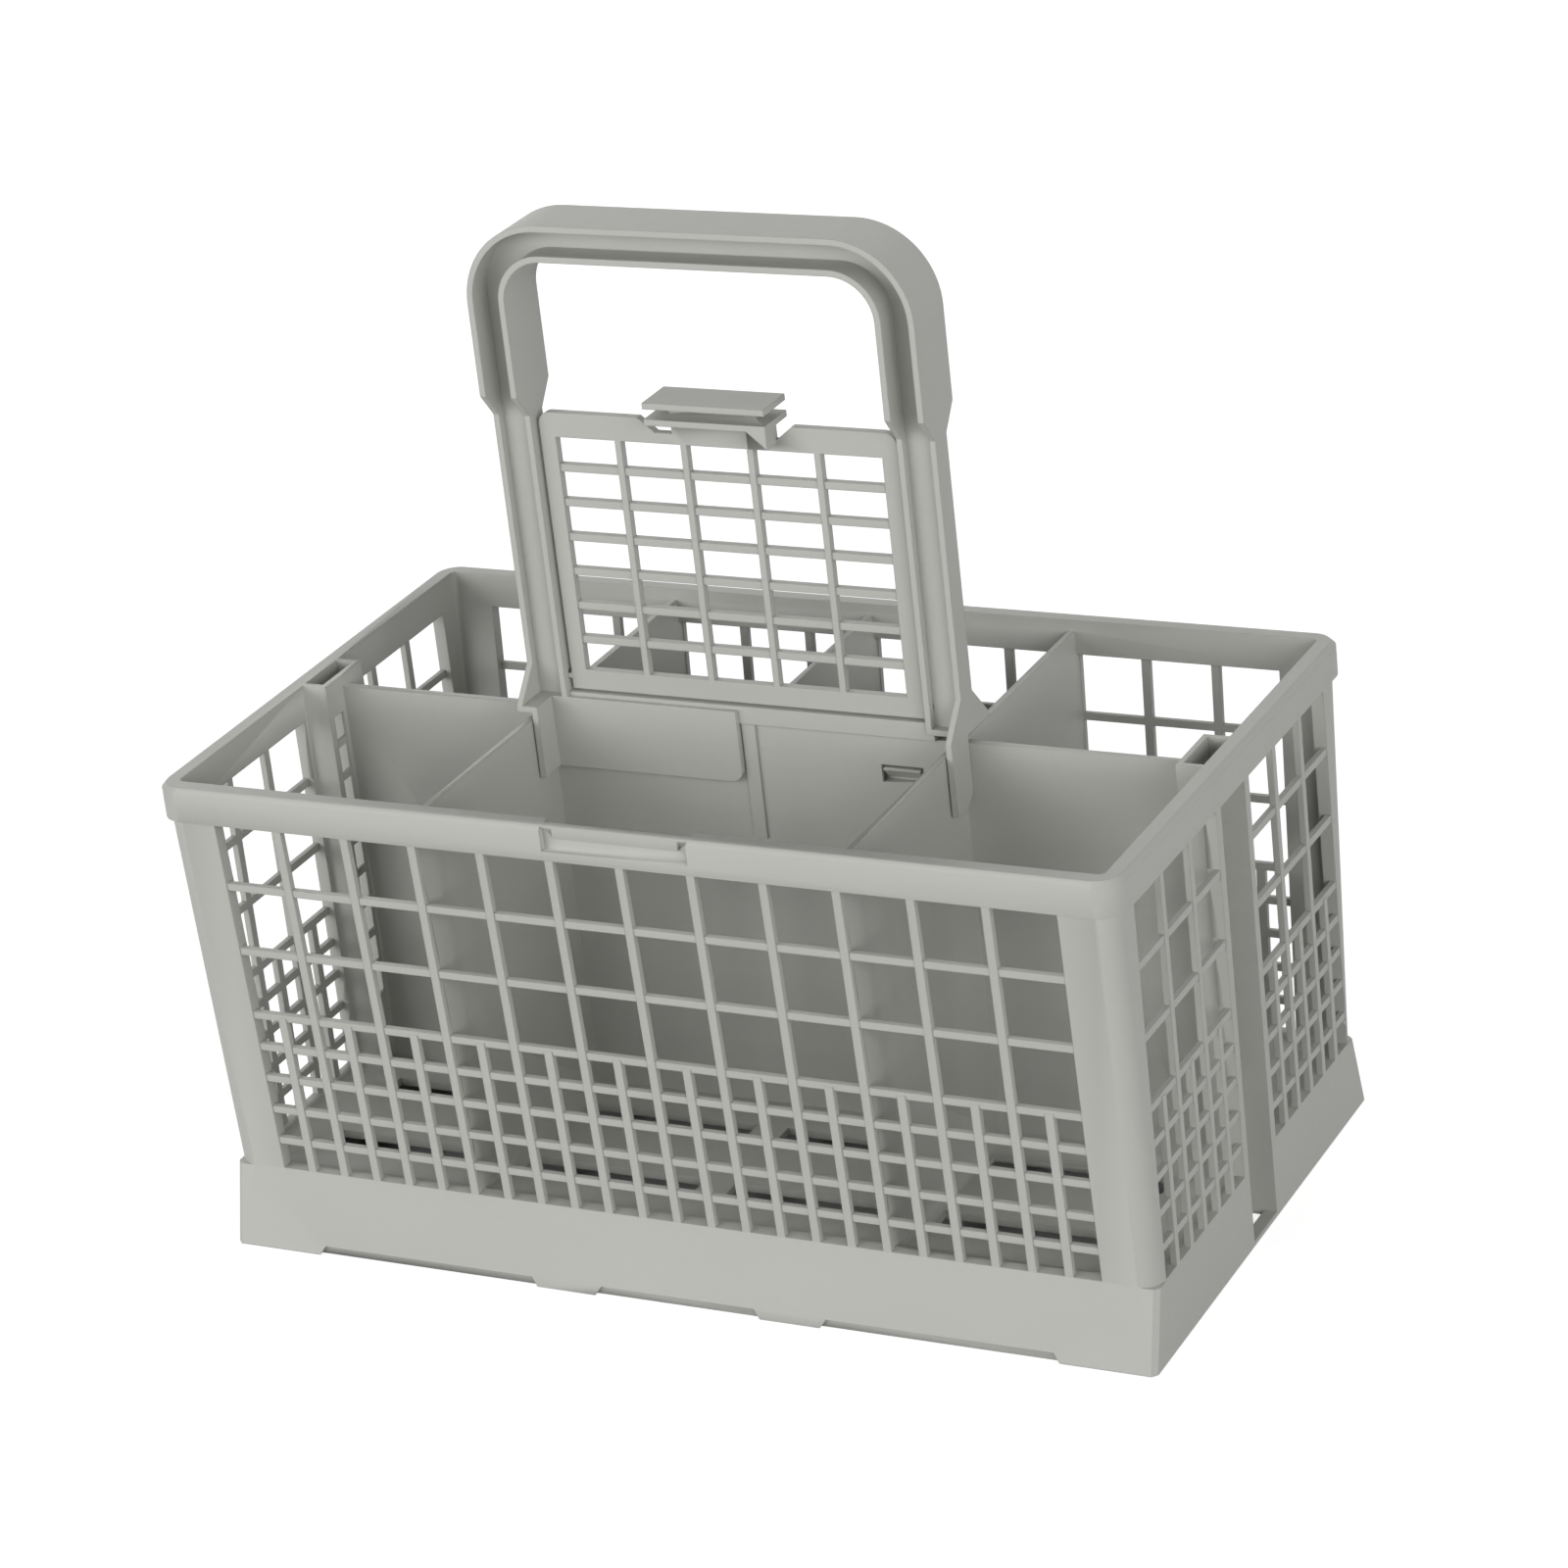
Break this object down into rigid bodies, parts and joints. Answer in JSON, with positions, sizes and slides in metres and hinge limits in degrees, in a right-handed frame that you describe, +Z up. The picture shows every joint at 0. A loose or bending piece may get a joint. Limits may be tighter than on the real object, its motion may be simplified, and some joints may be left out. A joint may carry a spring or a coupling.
{
  "type": "dishwasher cutlery basket",
  "caption": "Rectangular plastic lattice basket for cutlery in a dishwasher, with inner dividers, a clip-on carrying handle and a hinged mesh lid that folds onto the front rim.",
  "frame": {"origin": "bottom centre of the basket, on the plane its feet stand on", "axes": "+X to the right along the front wall, -Y out of the front, +Z up"},
  "size_m": [0.24, 0.14, 0.2385],
  "materials": {
    "grey_plastic": "fine matte moulded plastic"
  },
  "bodies": {
    "frame": {"basket": "grey_plastic", "handle": "grey_plastic"},
    "lid": {"lid": "grey_plastic"}
  },
  "joints": [
    {"name": "lid_hinge", "type": "hinge", "parent": "frame", "child": "lid", "pos_m": [0, 0, 0.1258], "axis": [1, 0, 0], "range_deg": [0, 93]}
  ]
}
